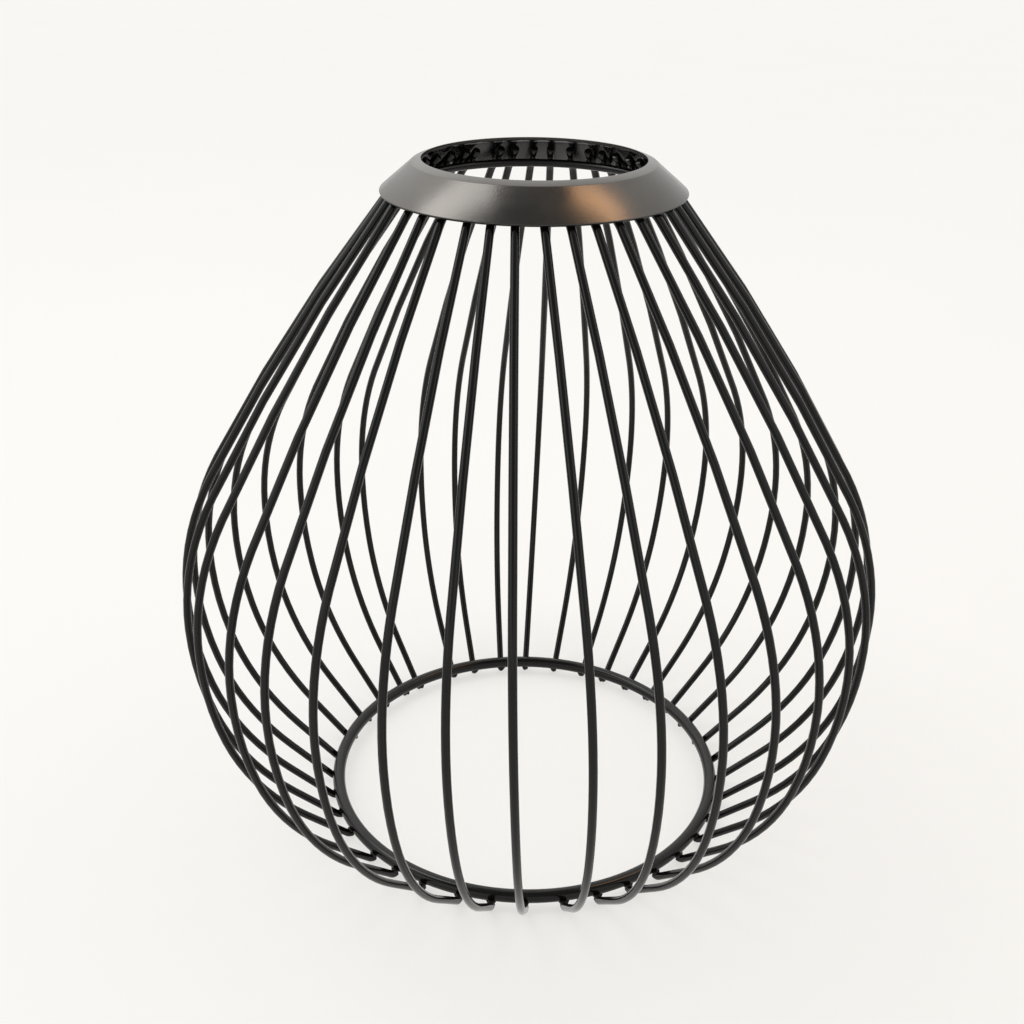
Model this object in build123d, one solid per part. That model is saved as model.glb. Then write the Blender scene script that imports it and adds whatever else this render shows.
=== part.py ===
from build123d import *
import os
from math import asin, cos, degrees, hypot, radians, sin

# Mesh lampshade: a pear-shaped cage of bent wires between a bottom ring and a spun collar.
# Millimetres, +Z up, origin on the axis at floor level, the first rib at the front (-Y).

os.makedirs("parts", exist_ok=True)

# Wires, each drawn six-sided and as wide across its flats as the round wire
RIB_WIRE = 2.7
BOTTOM_RING_WIRE = 4.8
TOP_RING_WIRE = 2.7

# Rib: a wire bent in one plane, given as bends away from the equator, where it is upright.
# A bend is its radius, its angle in degrees and the number of short straights that form it.
EQUATOR_RADIUS = 124.2
LOWER_BENDS = [(122, 17, 2), (94, 30, 4)]
SHIN_LENGTH = 20.7
FOOT_BEND = (3, 43, 2)
FOOT_LENGTH = 1.6
UPPER_BENDS = [(95, 30, 4), (912, 6, 2), (90, 11.5, 1)]
SEAT_LENGTH = 12.4
RIB_LEAN = 1.7  # degrees that the rib's plane leans sideways, as the cage is welded
FLAT_ROOM = 0.06  # keeps the leaning wires' flats from cutting into what they rest on

# The ribs are placed by hand: degrees that each one strays from even spacing, from the first rib on
RIB_STRAYS = [
    -0.5, 0.5, 0.5, 0.5, 0.5, 1, 1.5, 1.5, 1, 1, 0.5, 0.5, 1, 1, 0.5, 0, -0.5, -2, -1.5,
    -1, -2, -2, -4, 0, -3.5, -3.5, -3, -2.5, -1.5, -2, -2.5, -3, -3.5, -0.5, -1, -1, 0.5, 0,
]

# Rings: how far inside the ribs' foot bends one lies, and how far up their straight ends the other
BOTTOM_RING_INSET = 1.25
TOP_RING_SEAT = 7.6

# Collar: one spun sheet with a cone over the ribs' ends and a flatter land round a trimmed opening
SHEET = 1.0
OPENING_RADIUS = 36.3
LAND_WIDTH = 3.2
LAND_SLOPE = 20
CONE_OVERHANG = 0.7  # how far the cone reaches below the start of the ribs' straight ends
RIM_BREAK = 0.25
EDGE_BREAK = 0.3


class BentWire:
    """Follows a wire away from the equator; rise is 1 up the cage and -1 down it."""

    def __init__(self, rise):
        self.rise = rise
        self.angle = 0
        self.points = [Vector(EQUATOR_RADIUS, 0, 0)]

    def straight(self, length):
        run = Vector(-sin(radians(self.angle)), 0, self.rise * cos(radians(self.angle)))
        self.points.append(self.points[-1] + run * length)

    def bend(self, radius, turn, steps):
        half_step = turn / steps / 2
        for _ in range(steps):
            self.angle += half_step
            self.straight(2 * radius * sin(radians(half_step)))
            self.angle += half_step


def wire_section(diameter):
    return RegularPolygon(radius=diameter / 2, side_count=6, major_radius=False)


def ring(radius, height, diameter, tilt=0):
    section = Rot(Z=tilt) * wire_section(diameter)
    return revolve(Plane.XZ * Pos(radius, height) * section, Axis.Z)


def leaned(point):
    """Radius and height of a point of the rib once its plane leans."""
    sideways = point.Z * sin(radians(RIB_LEAN))
    return Vector(hypot(point.X, sideways), 0, point.Z * cos(radians(RIB_LEAN)))


# Rib, with its equator at height 0
lower = BentWire(rise=-1)
for bend in LOWER_BENDS:
    lower.bend(*bend)
lower.straight(SHIN_LENGTH)
lower.bend(*FOOT_BEND)
foot = leaned(lower.points[-1])
lower.straight(FOOT_LENGTH)

upper = BentWire(rise=1)
for bend in UPPER_BENDS:
    upper.bend(*bend)
seat = leaned(upper.points[-1])
upper.straight(SEAT_LENGTH)
seat_end = leaned(upper.points[-1])

centre_line = Polyline(*reversed(lower.points), *upper.points[1:])
rib_end = Plane(origin=centre_line @ 0, x_dir=(0, 1, 0), z_dir=centre_line % 0)
flat_rib = sweep(rib_end * wire_section(RIB_WIRE), centre_line, transition=Transition.RIGHT)
rib = Rot(X=RIB_LEAN) * flat_rib
equator_height = -rib.bounding_box().min.Z

# Directions along the ribs' straight ends and square to them, away from the axis
along = (seat_end - seat).normalized()
outward = Vector(along.Z, 0, -along.X)

# Bottom ring, on top of the ribs' feet
bottom_ring = ring(
    foot.X - BOTTOM_RING_INSET,
    foot.Z + (RIB_WIRE + BOTTOM_RING_WIRE) / 2 + FLAT_ROOM,
    BOTTOM_RING_WIRE,
)

# Top ring, against the inner side of the ribs' straight ends
ring_reach = (RIB_WIRE + TOP_RING_WIRE) / 2 + FLAT_ROOM
top_ring_centre = seat + along * TOP_RING_SEAT - outward * ring_reach
cone_tilt = -degrees(asin(outward.X))
top_ring = ring(top_ring_centre.X, top_ring_centre.Z, TOP_RING_WIRE, tilt=cone_tilt)

# Collar, its cone resting on the outer side of the ribs' straight ends
edge = seat + outward * (RIB_WIRE / 2 + FLAT_ROOM + SHEET) - along * CONE_OVERHANG
corner = edge + along * ((edge.X - OPENING_RADIUS - LAND_WIDTH) / -along.X)
land_end = corner + Vector(-cos(radians(LAND_SLOPE)), 0, sin(radians(LAND_SLOPE))) * 2 * LAND_WIDTH
outer_face = Polyline(edge, corner, land_end)
sheet = make_face(offset(outer_face, amount=SHEET, side=Side.RIGHT, kind=Kind.INTERSECTION))
sheet -= Plane.XZ * Pos(0, corner.Z) * Rectangle(2 * OPENING_RADIUS, 8 * LAND_WIDTH)
rim = sheet.vertices().sort_by(Axis.Z)[-1]
sheet = chamfer(rim, RIM_BREAK)
sheet = chamfer(sheet.vertices().sort_by_distance(edge)[0], EDGE_BREAK)
collar = revolve(sheet, Axis.Z)

# Everything stands on the floor, and the ribs are turned to their places round the axis
lift = Pos(0, 0, equator_height)
export_step(lift * collar, "parts/collar.step")
export_step(lift * top_ring, "parts/top_ring.step")
export_step(lift * bottom_ring, "parts/bottom_ring.step")
for number, stray in enumerate(RIB_STRAYS):
    turn = Rot(Z=number * 360 / len(RIB_STRAYS) + stray - 90)
    export_step(lift * turn * rib, f"parts/rib_{number + 1:02d}.step")
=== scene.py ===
import math
import random

import bmesh
import bpy
from mathutils import Matrix, Vector


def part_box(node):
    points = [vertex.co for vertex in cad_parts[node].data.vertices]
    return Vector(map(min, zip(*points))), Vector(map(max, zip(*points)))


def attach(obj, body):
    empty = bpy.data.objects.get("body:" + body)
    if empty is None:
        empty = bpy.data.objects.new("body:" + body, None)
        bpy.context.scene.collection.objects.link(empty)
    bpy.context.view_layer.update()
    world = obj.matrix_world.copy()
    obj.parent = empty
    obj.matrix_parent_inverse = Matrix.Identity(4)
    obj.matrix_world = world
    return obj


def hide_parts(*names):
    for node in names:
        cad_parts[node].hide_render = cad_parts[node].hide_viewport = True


# Mesh lampshade: a pear-shaped cage of round bent rods, welded to two rings and capped by a spun collar.
# Metres, +Z up, in the frame of the solids. Rods, rings and collar stand for their solids and lie within
# about a millimetre of them: the neck is a little slimmer here and the collar a little higher.

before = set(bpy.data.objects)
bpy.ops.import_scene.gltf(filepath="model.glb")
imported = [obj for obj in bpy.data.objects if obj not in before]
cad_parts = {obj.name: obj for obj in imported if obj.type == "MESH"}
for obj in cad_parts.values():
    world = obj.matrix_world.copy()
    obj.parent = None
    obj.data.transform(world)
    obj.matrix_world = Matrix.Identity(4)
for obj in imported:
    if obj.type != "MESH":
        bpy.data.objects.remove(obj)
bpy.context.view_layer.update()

MM = 0.001

# Rods and rings
RIB_WIRE = 2.7 * MM
BOTTOM_RING_WIRE = 4.8 * MM
TOP_RING_WIRE = 2.7 * MM
RIB_LEAN = math.radians(1.7)  # of a rib's plane, sideways
FLAT_ROOM = 0.06 * MM  # between a rib and the ring it rests on

# Bends of a rib, as radius and angle, away from the equator where the rod is upright
EQUATOR_RADIUS = 124.2 * MM
LOWER_BENDS = [(122 * MM, 17), (94 * MM, 30)]
SHIN_LENGTH = 20.7 * MM
FOOT_BEND = (3 * MM, 43)
FOOT_LENGTH = 0.5 * MM
END_ROUND = 0.32 * MM  # on the rim of a rod's cut end
UPPER_BENDS = [(95 * MM, 30), (733 * MM, 8.8), (12 * MM, 8.7)]
SEAT_LENGTH = 10.9 * MM

# Rings: how far inside the ribs' foot bends one lies, and how far up their straight ends the other
BOTTOM_RING_INSET = 1.25 * MM
TOP_RING_SEAT = 6.1 * MM

# Weld beads: length, width and height, and where two rows of them sit
FOOT_WELD = (4.2 * MM, 3.7 * MM, 3.0 * MM)
TOP_WELD = (3.0 * MM, 2.1 * MM, 1.6 * MM)
CONE_WELD = (3.0 * MM, 1.7 * MM, 1.8 * MM)
FOOT_WELD_ANGLE = 15  # from the bottom ring's lowest line outwards
CONE_WELD_SEAT = 3.0 * MM  # up the ribs' straight ends

# Weld beads differ by hand: least and greatest share of each size, and degrees they turn either way
WELD_SHARES = [(0.85, 1.2), (0.8, 1.15), (0.9, 1.1)]
WELD_TWIST = 14

# Spun collar, its slopes in degrees
SHEET = 1.0 * MM
OPENING_RADIUS = 36.3 * MM
LAND_WIDTH = 3.2 * MM
LAND_SLOPE = 20
CONE_SLOPE = 40.2
CONE_OVERHANG = 1.25 * MM  # below the start of the ribs' straight ends
COLLAR_ROOM = 0.95 * MM  # bridged by the welds between the ribs and the cone
CORNER_RADIUS = 1.3 * MM
RIM_ROUND = 0.25 * MM
EDGE_ROUND = 0.3 * MM

# The ribs are placed by hand: degrees that each one strays from even spacing, from the first rib on
RIB_STRAYS = [
    -0.5, 0.5, 0.5, 0.5, 0.5, 1, 1.5, 1.5, 1, 1, 0.5, 0.5, 1, 1, 0.5, 0, -0.5, -2, -1.5,
    -1, -2, -2, -4, 0, -3.5, -3.5, -3, -2.5, -1.5, -2, -2.5, -3, -3.5, -0.5, -1, -1, 0.5, 0,
]

# How finely round stretches are divided
WIRE_SIDES = 16
RING_SIDES = 20
ARC_STEP = 3.5  # degrees
TURN_STEPS = 152
TOUCH = 0.01 * MM  # points nearer than this are one


def linear(colour):
    """Linear red, green, blue and alpha of an sRGB colour written as six hex digits."""
    channels = [int(colour[place:place + 2], 16) / 255 for place in (0, 2, 4)]
    return [c / 12.92 if c <= 0.04045 else ((c + 0.055) / 1.055) ** 2.4 for c in channels] + [1.0]


def begin(primitive, **settings):
    """Adds a primitive, applies its place and opens it in edit mode with all of it selected."""
    bpy.ops.object.select_all(action="DESELECT")
    primitive(**settings)
    bpy.ops.object.transform_apply(location=True, rotation=True, scale=True)
    bpy.ops.object.mode_set(mode="EDIT")
    bpy.ops.mesh.select_all(action="SELECT")
    return bpy.context.object


def pick(test):
    """Selects the vertices of the piece being edited whose place passes the test."""
    mesh = bmesh.from_edit_mesh(bpy.context.object.data)
    for part in (*mesh.faces, *mesh.edges):
        part.select = False
    for vertex in mesh.verts:
        vertex.select = test(vertex.co)
    mesh.select_flush(True)
    bmesh.update_edit_mesh(bpy.context.object.data)


def end(piece, name, sharp=40):
    """Closes seams, turns the faces outwards and shades smooth all but edges of more degrees than sharp."""
    bpy.ops.mesh.select_all(action="SELECT")
    bpy.ops.mesh.remove_doubles(threshold=TOUCH)
    bpy.ops.mesh.normals_make_consistent(inside=False)
    bpy.ops.object.mode_set(mode="OBJECT")
    bpy.ops.object.shade_smooth_by_angle(angle=math.radians(sharp))
    piece.name = piece.data.name = name
    return piece


class Former:
    """Draws the selected section out along a line in the XZ plane, as wire or sheet is bent round formers.

    The heading is in degrees from +X towards +Z, and a positive turn goes the same way.
    """

    def __init__(self, x, z, heading):
        self.point = Vector((x, 0, z))
        self.heading = heading

    def direction(self, turn=0):
        angle = math.radians(self.heading + turn)
        return Vector((math.cos(angle), 0, math.sin(angle)))

    def straight(self, length):
        run = self.direction() * length
        bpy.ops.mesh.extrude_region_move(TRANSFORM_OT_translate={"value": run})
        self.point += run

    def bend(self, radius, turn):
        side = math.copysign(90, turn)
        centre = self.point + self.direction(side) * radius
        steps = max(3, math.ceil(abs(turn) / ARC_STEP))
        # A positive angle turns clockwise about the axis
        bpy.ops.mesh.spin(steps=steps, angle=math.radians(turn), center=centre, axis=(0, 1, 0))
        self.heading += turn
        self.point = centre - self.direction(side) * radius


def leaned(point):
    """Radius and height of a point of the rib once its plane leans."""
    return Vector((math.hypot(point.x, point.z * math.sin(RIB_LEAN)), 0, point.z * math.cos(RIB_LEAN)))


def cut_end():
    """Closes the open end of a rod with a sheared face whose rim the coating rounds off."""
    bpy.ops.mesh.edge_face_add()
    bpy.ops.mesh.bevel(offset=END_ROUND, segments=3, affect="EDGES")


# One rib, bent in the XZ plane with its equator at height 0

section = dict(vertices=WIRE_SIDES, radius=RIB_WIRE / 2)
flat_rib = begin(bpy.ops.mesh.primitive_circle_add, location=(EQUATOR_RADIUS, 0, 0), **section)
upper = Former(EQUATOR_RADIUS, 0, heading=90)
for radius, turn in UPPER_BENDS:
    upper.bend(radius, turn)
seat = leaned(upper.point)
upper.straight(SEAT_LENGTH)
seat_end = leaned(upper.point)
cut_end()

pick(lambda place: abs(place.z) < TOUCH)
lower = Former(EQUATOR_RADIUS, 0, heading=-90)
for radius, turn in LOWER_BENDS:
    lower.bend(radius, -turn)
lower.straight(SHIN_LENGTH)
lower.bend(FOOT_BEND[0], -FOOT_BEND[1])
foot = leaned(lower.point)
lower.straight(FOOT_LENGTH)
cut_end()
end(flat_rib, "flat_rib")

# Heights: the solid bottom ring rests on the ribs' feet, and that gives the height of the equator
ring_low, ring_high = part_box("bottom_ring")
ring_height = (ring_low.z + ring_high.z) / 2
equator = ring_height - (foot.z + (RIB_WIRE + BOTTOM_RING_WIRE) / 2 + FLAT_ROOM)
lift = Vector((0, 0, equator))

# Directions along the ribs' straight upper ends and square to them, away from the axis
along = (seat_end - seat).normalized()
outward = Vector((along.z, 0, -along.x))


def rib_turn(number):
    """Turns a thing made at +X to the place of a rib, counted from the front."""
    even = number * 360 / len(RIB_STRAYS)
    return Matrix.Rotation(math.radians(even + RIB_STRAYS[number] - 90), 4, "Z")


def copied(pattern, name, placing):
    """A copy of a finished piece with a mesh of its own, its place in the mesh."""
    piece = pattern.copy()
    piece.data = pattern.data.copy()
    piece.name = piece.data.name = name
    piece.data.transform(placing)
    bpy.context.scene.collection.objects.link(piece)
    return piece


leaning = Matrix.Translation(lift) @ Matrix.Rotation(RIB_LEAN, 4, "X")
ribs = []
for number in range(len(RIB_STRAYS)):
    rib = copied(flat_rib, f"round_rib_{number + 1:02d}", rib_turn(number) @ leaning)
    ribs.append(rib)
bpy.data.objects.remove(flat_rib)


def rolled_ring(name, radius, height, wire):
    """A rod rolled into a closed ring."""
    section = dict(vertices=RING_SIDES, radius=wire / 2, location=(radius, 0, height))
    ring = begin(bpy.ops.mesh.primitive_circle_add, rotation=(math.pi / 2, 0, 0), **section)
    bpy.ops.mesh.spin(steps=TURN_STEPS, angle=math.tau, center=(0, 0, 0), axis=(0, 0, 1))
    return end(ring, name)


bottom_ring_radius = foot.x - BOTTOM_RING_INSET
bottom_ring = rolled_ring("round_bottom_ring", bottom_ring_radius, ring_height, BOTTOM_RING_WIRE)

ring_reach = (RIB_WIRE + TOP_RING_WIRE) / 2 + FLAT_ROOM
top_ring_centre = seat + along * TOP_RING_SEAT - outward * ring_reach + lift
top_ring = rolled_ring("round_top_ring", top_ring_centre.x, top_ring_centre.z, TOP_RING_WIRE)


# Collar, whose cone lies over the ribs' straight ends. Its visible face is drawn from the land over the
# corner and down the cone, and the sheet lies to the right of it. The land starts well inside the
# opening, which is trimmed afterwards and leaves a plain cut edge.

edge = seat + outward * (RIB_WIRE / 2 + COLLAR_ROOM + SHEET) - along * CONE_OVERHANG + lift
up_cone = Matrix.Rotation(math.radians(CONE_SLOPE), 4, "Y") @ Vector((-1, 0, 0))
cone_length = (edge.x - OPENING_RADIUS - LAND_WIDTH) / -up_cone.x
corner = edge + up_cone * cone_length
corner_turn = CONE_SLOPE - LAND_SLOPE
corner_tangent = CORNER_RADIUS * math.tan(math.radians(corner_turn / 2))

face = Former(corner.x, corner.z, heading=-LAND_SLOPE)
face.point -= face.direction() * 2 * LAND_WIDTH
first_bit = face.point + (face.direction() + face.direction(-90)) * SHEET / 2
collar = begin(
    bpy.ops.mesh.primitive_plane_add,
    size=SHEET,
    location=first_bit,
    rotation=(math.pi / 2, math.radians(LAND_SLOPE), 0),
)
pick(lambda place: place.x > first_bit.x)
face.point += face.direction() * SHEET
face.straight(2 * LAND_WIDTH - SHEET - corner_tangent)
face.bend(CORNER_RADIUS, -corner_turn)
face.straight(cone_length - corner_tangent)
bpy.ops.mesh.bevel(offset=EDGE_ROUND, segments=4, affect="VERTICES")
bpy.ops.mesh.select_all(action="SELECT")
bpy.ops.mesh.bisect(plane_co=(OPENING_RADIUS, 0, 0), plane_no=(1, 0, 0), clear_inner=True)
pick(lambda place: place.x < OPENING_RADIUS + TOUCH)
bpy.ops.mesh.bevel(offset=RIM_ROUND, segments=3, affect="VERTICES")
bpy.ops.mesh.select_all(action="SELECT")
bpy.ops.mesh.dissolve_faces()
bpy.ops.mesh.delete(type="ONLY_FACE")
bpy.ops.mesh.select_all(action="SELECT")
bpy.ops.mesh.spin(steps=TURN_STEPS, angle=math.tau, center=(0, 0, 0), axis=(0, 0, 1))
end(collar, "spun_collar")


def weld_bead(length, width, height):
    """A small bead of weld, wide across the rod at its top and long beside the rod in its lower half."""
    waist = 0.3
    bead = begin(bpy.ops.mesh.primitive_ico_sphere_add, subdivisions=2, radius=1)
    pick(lambda place: place.z > waist)
    bpy.ops.transform.resize(value=(0.75, 1.3, 1), center_override=(0, 0, 0))
    pick(lambda place: place.z < -waist)
    bpy.ops.transform.resize(value=(1.25, 0.8, 1), center_override=(0, 0, 0))
    bpy.ops.mesh.select_all(action="SELECT")
    bpy.ops.transform.resize(value=(length / 2, width / 2, height / 2), center_override=(0, 0, 0))
    return end(bead, "bead", sharp=180)


def weld_row(name, sizes, place, tilt):
    """One bead at every rib, each a little different, joined into one row."""
    draw = random.Random(name)
    bead = weld_bead(*sizes)
    tipped = Matrix.Rotation(math.radians(tilt), 4, "Y")
    # The leaning rod has moved sideways by this height
    sideways = -(place.z - equator) * math.sin(RIB_LEAN)
    lean_shift = Matrix.Rotation(math.atan2(sideways, place.x), 4, "Z")
    row = []
    for number in range(len(RIB_STRAYS)):
        swell = Matrix.Diagonal([draw.uniform(*share) for share in WELD_SHARES] + [1])
        twist = Matrix.Rotation(math.radians(draw.uniform(-WELD_TWIST, WELD_TWIST)), 4, "Z")
        placing = rib_turn(number) @ lean_shift @ Matrix.Translation(place) @ tipped @ twist @ swell
        row.append(copied(bead, f"{name}_{number}", placing))
    bpy.data.objects.remove(bead)
    bpy.ops.object.select_all(action="DESELECT")
    for piece in row:
        piece.select_set(True)
    bpy.context.view_layer.objects.active = row[0]
    bpy.ops.object.join()
    row[0].name = row[0].data.name = name
    return row[0]


# The ribs wrap the bottom ring from outside and below, and a bead fills the crook up to the ribs' tips
foot_side = Matrix.Rotation(math.radians(-FOOT_WELD_ANGLE), 4, "Y") @ Vector((0, 0, -1))
foot_place = Vector((bottom_ring_radius, 0, ring_height)) + foot_side * BOTTOM_RING_WIRE / 2
foot_welds = weld_row("foot_welds", FOOT_WELD, foot_place, -FOOT_WELD_ANGLE)

# Under the collar, beads hold the top ring to the ribs and the ribs to the cone. Their tops face inwards
top_place = top_ring_centre + outward * TOP_RING_WIRE / 2
top_tilt = 180 + math.degrees(math.atan2(along.z, -along.x))
top_welds = weld_row("top_welds", TOP_WELD, top_place, top_tilt)
cone_place = seat + along * CONE_WELD_SEAT + outward * (RIB_WIRE + COLLAR_ROOM) / 2 + lift
cone_welds = weld_row("cone_welds", CONE_WELD, cone_place, top_tilt)


# Materials

def new_material(name):
    """An empty material made of nodes."""
    material = bpy.data.materials.new(name)
    material.use_nodes = True
    material.node_tree.nodes.clear()
    return material


def node(owner, kind, inputs=None, **settings):
    """Adds a node to a material or world, with its settings, socket values and links."""
    made = owner.node_tree.nodes.new(kind)
    for name, value in settings.items():
        setattr(made, name, value)
    for socket, value in (inputs or {}).items():
        if isinstance(value, bpy.types.NodeSocket):
            owner.node_tree.links.new(value, made.inputs[socket])
        else:
            made.inputs[socket].default_value = value
    return made


def blotches(owner, size, detail):
    """Noise from 0 to 1 in the piece's own space, its blotches about as wide as the size."""
    place = node(owner, "ShaderNodeTexCoord").outputs["Object"]
    inputs = {"Vector": place, "Scale": 1 / size, "Detail": detail}
    return node(owner, "ShaderNodeTexNoise", inputs).outputs["Fac"]


def blend(owner, factor, first, second):
    """Colour that goes from the first to the second as the factor goes from 0 to 1."""
    inputs = {"Factor": factor, "A": first, "B": second}
    mix = node(owner, "ShaderNodeMix", inputs, data_type="RGBA")
    return [socket for socket in mix.outputs if socket.type == "RGBA"][0]


def ramp(owner, value, span, result, **settings):
    """Value carried from one span over to another, and held beyond its ends."""
    inputs = {
        "Value": value,
        "From Min": span[0],
        "From Max": span[1],
        "To Min": result[0],
        "To Max": result[1],
    }
    return node(owner, "ShaderNodeMapRange", inputs, **settings).outputs["Result"]


def relief(owner, height, strength, depth):
    """Surface direction disturbed by a height pattern."""
    inputs = {"Height": height, "Strength": strength, "Distance": depth}
    return node(owner, "ShaderNodeBump", inputs).outputs["Normal"]


# Noise keeps mostly within this span
BLOTCH_SPAN = (0.3, 0.7)


def satin_powder_coat():
    """Black polyester powder baked on steel rod: nearly black, a narrow soft highlight and a faint ripple."""
    coat = new_material("satin_powder_coat")
    cloud = blotches(coat, size=14 * MM, detail=3.0)
    # Orange peel of baked powder is about 1.5 mm across
    ripple = blotches(coat, size=1.5 * MM, detail=1.0)
    shader = node(
        coat,
        "ShaderNodeBsdfPrincipled",
        {
            "Base Color": blend(coat, cloud, linear("060606"), linear("0C0B0A")),
            "Roughness": ramp(coat, cloud, BLOTCH_SPAN, (0.11, 0.17)),
            "Normal": relief(coat, ripple, strength=0.25, depth=0.05 * MM),
            "IOR": 1.34,
        },
    )
    node(coat, "ShaderNodeOutputMaterial", {"Surface": shader.outputs["BSDF"]})
    return coat


def gunmetal_lacquer():
    """Metallic gunmetal lacquer, sprayed on spun steel: satin, with soft mottled reflections from its flakes.

    The collar's inner side, which faces down, is drawn black, not metallic and less glossy: painted shade
    inside the collar.
    """
    lacquer = new_material("gunmetal_lacquer")
    cloud = blotches(lacquer, size=9 * MM, detail=3.0)
    # The flakes and the grain of the real lacquer are finer, and drawn 0.6 mm across to show
    grain = blotches(lacquer, size=0.6 * MM, detail=2.0)
    normal = node(lacquer, "ShaderNodeNewGeometry").outputs["Normal"]
    upward = node(lacquer, "ShaderNodeSeparateXYZ", {"Vector": normal}).outputs["Z"]
    # Painted shade: faces turned down, on the collar's inner side, get a black, matt colour in place of the
    # lacquer
    outside_not_shade = ramp(lacquer, upward, (-0.25, 0.1), (0.0, 1.0))
    outside = blend(lacquer, cloud, linear("4B4947"), linear("54524F"))
    shader = node(
        lacquer,
        "ShaderNodeBsdfPrincipled",
        {
            "Base Color": blend(lacquer, outside_not_shade, linear("0A0909"), outside),
            "Metallic": outside_not_shade,
            "Specular IOR Level": ramp(lacquer, outside_not_shade, (0.0, 1.0), (0.2, 0.5)),
            "Roughness": ramp(lacquer, cloud, BLOTCH_SPAN, (0.2, 0.27)),
            "Normal": relief(lacquer, grain, strength=0.55, depth=0.04 * MM),
        },
    )
    node(lacquer, "ShaderNodeOutputMaterial", {"Surface": shader.outputs["BSDF"]})
    return lacquer


def opal_sheet():
    """Opal acrylic sheet of a light table: matt and pale, and lit from below, which keeps shadows faint."""
    sheet = new_material("opal_sheet")
    cloud = blotches(sheet, size=180 * MM, detail=2.0)
    shader = node(
        sheet,
        "ShaderNodeBsdfPrincipled",
        {
            "Base Color": blend(sheet, cloud, linear("848483"), linear("888887")),
            "Roughness": 0.9,
            "Specular IOR Level": 0.2,
            "Emission Color": linear("FBFAF7"),
            "Emission Strength": 0.64,
        },
    )
    node(sheet, "ShaderNodeOutputMaterial", {"Surface": shader.outputs["BSDF"]})
    return sheet


def finish_piece(piece, material, slot, *nodes):
    """Coats a piece and says which solids it stands for. Weld beads stand for none."""
    piece.data.materials.clear()
    piece.data.materials.append(material)
    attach(piece, "root")
    if nodes:
        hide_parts(*nodes)


coat = satin_powder_coat()
for number, rib in enumerate(ribs):
    finish_piece(rib, coat, "wire_coating", f"rib_{number + 1:02d}")
finish_piece(bottom_ring, coat, "wire_coating", "bottom_ring")
finish_piece(top_ring, coat, "wire_coating", "top_ring")
finish_piece(foot_welds, coat, "wire_coating")
finish_piece(top_welds, coat, "wire_coating")
finish_piece(cone_welds, coat, "wire_coating")
finish_piece(collar, gunmetal_lacquer(), "collar_paint", "collar")


# Stage, light and camera

FLOOR_RADIUS = 9
LIGHT_AIM = Vector((0, 0, 0.2))

bpy.ops.object.select_all(action="DESELECT")
bpy.ops.mesh.primitive_circle_add(vertices=96, radius=FLOOR_RADIUS, fill_type="NGON")
floor = bpy.context.object
floor.name = "light_table"
floor.data.materials.append(opal_sheet())


def softbox(name, place, width, depth, radiance, colour):
    """A rectangular light aimed at the shade, whose power follows from its size and radiance."""
    bpy.ops.object.light_add(type="AREA", location=place)
    light = bpy.context.object
    light.name = name
    light.data.shape = "RECTANGLE"
    light.data.size = width
    light.data.size_y = depth
    light.data.energy = radiance * width * depth * math.pi
    light.data.color = linear(colour)[:3]
    aim = LIGHT_AIM - Vector(place)
    light.rotation_euler = aim.to_track_quat("-Z", "Y").to_euler()


softbox("left_softbox", (-0.64, 0.12, 1.19), width=0.40, depth=0.70, radiance=4.6, colour="FFFFFF")
softbox("warm_reflector", (0.56, 0.05, 1.25), width=0.27, depth=0.45, radiance=6.6, colour="FFC48C")

world = bpy.data.worlds.new("pale_studio")
world.use_nodes = True
world.node_tree.nodes.clear()
bpy.context.scene.world = world
# The studio is brighter on the left than on the right, dimmer towards the horizon, and dark in its
# ceiling above the camera, which the collar and the upper rods mirror
DARK_CEILING = (0.0, -0.45, 0.89)
toward = node(world, "ShaderNodeTexCoord").outputs["Generated"]
axes = node(world, "ShaderNodeSeparateXYZ", {"Vector": toward}).outputs
nearness = node(
    world,
    "ShaderNodeVectorMath",
    {0: toward, 1: DARK_CEILING},
    operation="DOT_PRODUCT",
).outputs["Value"]
walls = ramp(world, axes["X"], (-0.7, 0.5), (2.6, 1.5))
horizon = ramp(world, axes["Z"], (0.1, 0.6), (0.9, walls))
brightness = ramp(world, nearness, (0.6, 0.9), (horizon, 0.4), interpolation_type="SMOOTHSTEP")
glow = node(world, "ShaderNodeBackground", {"Color": linear("F7F6F4"), "Strength": brightness})
node(world, "ShaderNodeOutputWorld", {"Surface": glow.outputs["Background"]})

# The photograph was taken from the front, slightly from the right, looking down at 26 degrees
CAMERA_DISTANCE = 0.40565
CAMERA_HEIGHT = 0.3214
CAMERA_AZIMUTH = math.radians(0.8)
CAMERA_YAW = math.radians(-1.652)
CAMERA_PITCH = math.radians(26.482)
CAMERA_ROLL = math.radians(0.573)
bpy.ops.object.camera_add()
camera = bpy.context.object
camera.data.lens = 43.57
camera.data.sensor_width = 36
camera.data.clip_start = 0.01
camera_place = Vector((
    CAMERA_DISTANCE * math.sin(CAMERA_AZIMUTH),
    -CAMERA_DISTANCE * math.cos(CAMERA_AZIMUTH),
    CAMERA_HEIGHT,
))
camera.matrix_world = (
    Matrix.Translation(camera_place)
    @ Matrix.Rotation(-CAMERA_YAW, 4, "Z")
    @ Matrix.Rotation(math.pi / 2 - CAMERA_PITCH, 4, "X")
    @ Matrix.Rotation(CAMERA_ROLL, 4, "Z")
)
bpy.context.scene.camera = camera
bpy.context.scene.view_settings.view_transform = "Standard"
